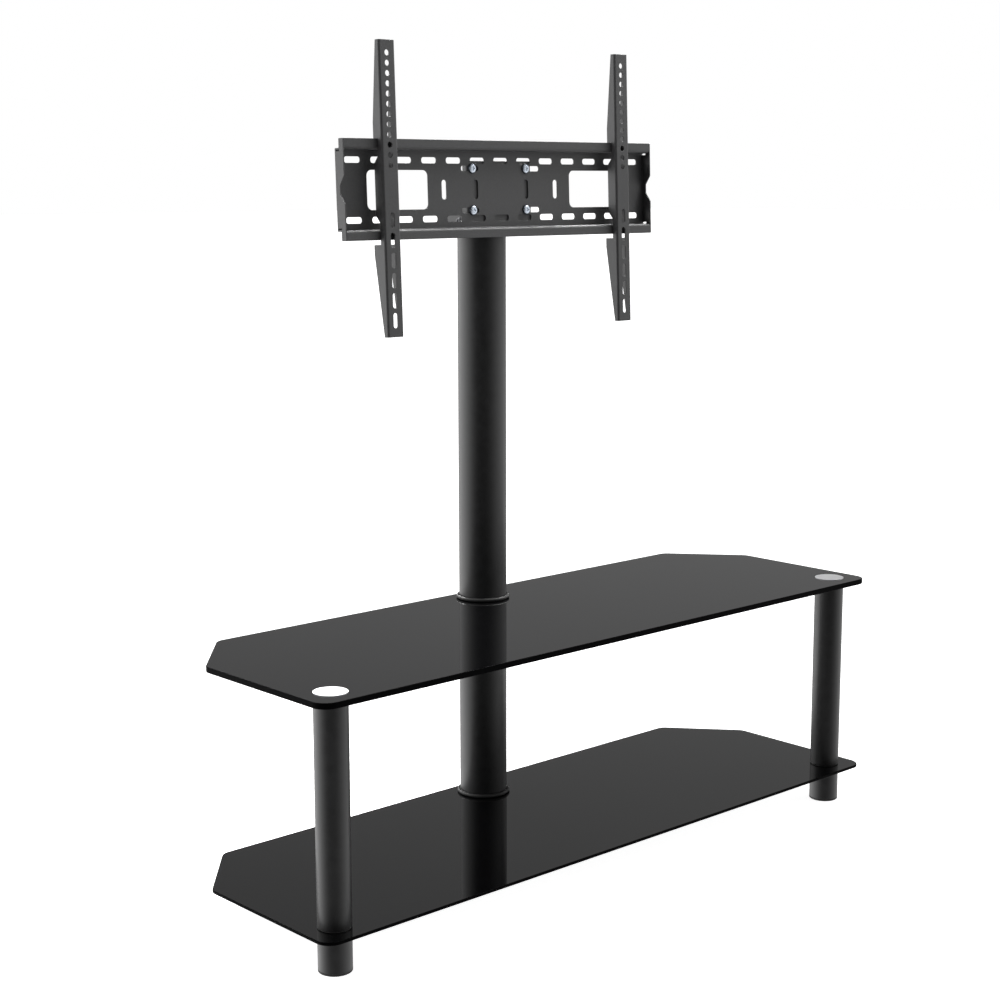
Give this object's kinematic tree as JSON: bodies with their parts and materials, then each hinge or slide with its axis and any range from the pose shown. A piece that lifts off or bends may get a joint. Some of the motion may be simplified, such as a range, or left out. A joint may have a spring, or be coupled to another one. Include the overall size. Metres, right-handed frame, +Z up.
{
  "type": "television stand",
  "caption": "Open television stand: black glass shelves on round posts, a rear pole, and a tilting slotted plate with sliding arms that hold a screen.",
  "frame": {"origin": "on the floor, under the middle of the shelves", "axes": "+X to the right and +Y to the back as seen from the front, +Z up"},
  "size_m": [1.21, 0.4, 1.3108],
  "materials": {
    "black_glass": "polished black glass",
    "post": "satin black lacquer",
    "pole": "satin black lacquer",
    "cap": "fine satin",
    "collar": "gloss black",
    "gasket": "matt black",
    "glide": "matt black",
    "rod": "plain threaded steel",
    "insert": "plain steel",
    "yoke": "fine black powder coat",
    "bracket": "fine black powder coat",
    "plate": "fine black powder coat",
    "arm": "fine black powder coat",
    "screw": "bright zinc plate",
    "pivot_hardware": "bright zinc plate",
    "washer": "plain fibre"
  },
  "bodies": {
    "stand": {"head_yoke": "yoke", "left_cap": "cap", "left_cap_bush": "gasket", "left_foot": "post", "left_foot_nut_plate": "insert", "left_friction_washer": "washer", "left_gasket_above_lower_shelf": "gasket", "left_gasket_below_lower_shelf": "gasket", "left_gasket_below_upper_shelf": "gasket", "left_glide": "glide", "left_pivot_bolt": "pivot_hardware", "left_pivot_nut": "pivot_hardware", "left_post": "post", "left_post_lower_insert": "insert", "left_post_upper_insert": "insert", "left_rod": "rod", "lower_collar": "collar", "lower_shelf": "black_glass", "pole_gasket_below_lower_shelf": "gasket", "pole_gasket_below_upper_shelf": "gasket", "pole_lower": "pole", "pole_lower_insert": "insert", "pole_middle_insert": "insert", "pole_rod": "rod", "pole_upper": "pole", "pole_upper_insert": "insert", "rear_foot": "pole", "rear_foot_nut_plate": "insert", "rear_glide": "glide", "right_cap": "cap", "right_cap_bush": "gasket", "right_foot": "post", "right_foot_nut_plate": "insert", "right_friction_washer": "washer", "right_gasket_above_lower_shelf": "gasket", "right_gasket_below_lower_shelf": "gasket", "right_gasket_below_upper_shelf": "gasket", "right_glide": "glide", "right_pivot_bolt": "pivot_hardware", "right_pivot_nut": "pivot_hardware", "right_post": "post", "right_post_lower_insert": "insert", "right_post_upper_insert": "insert", "right_rod": "rod", "upper_collar": "collar", "upper_shelf": "black_glass"},
    "mount": {"tilt_bracket": "bracket", "mount_plate": "plate", "lower_left_screw": "screw", "lower_right_screw": "screw", "upper_left_screw": "screw", "upper_right_screw": "screw"},
    "left_arm": {"left_arm": "arm"},
    "right_arm": {"right_arm": "arm"}
  },
  "joints": [
    {"name": "screen_tilt", "type": "hinge", "parent": "stand", "child": "mount", "pos_m": [0, 0.118, 1.038], "axis": [1, 0, 0], "range_deg": [-3, 10]},
    {"name": "left_arm_slide", "type": "slide", "parent": "mount", "child": "left_arm", "axis": [1, 0, 0], "range_m": [-0.0629, 0.2022]},
    {"name": "right_arm_slide", "type": "slide", "parent": "mount", "child": "right_arm", "axis": [1, 0, 0], "range_m": [-0.2038, 0.0613]}
  ]
}
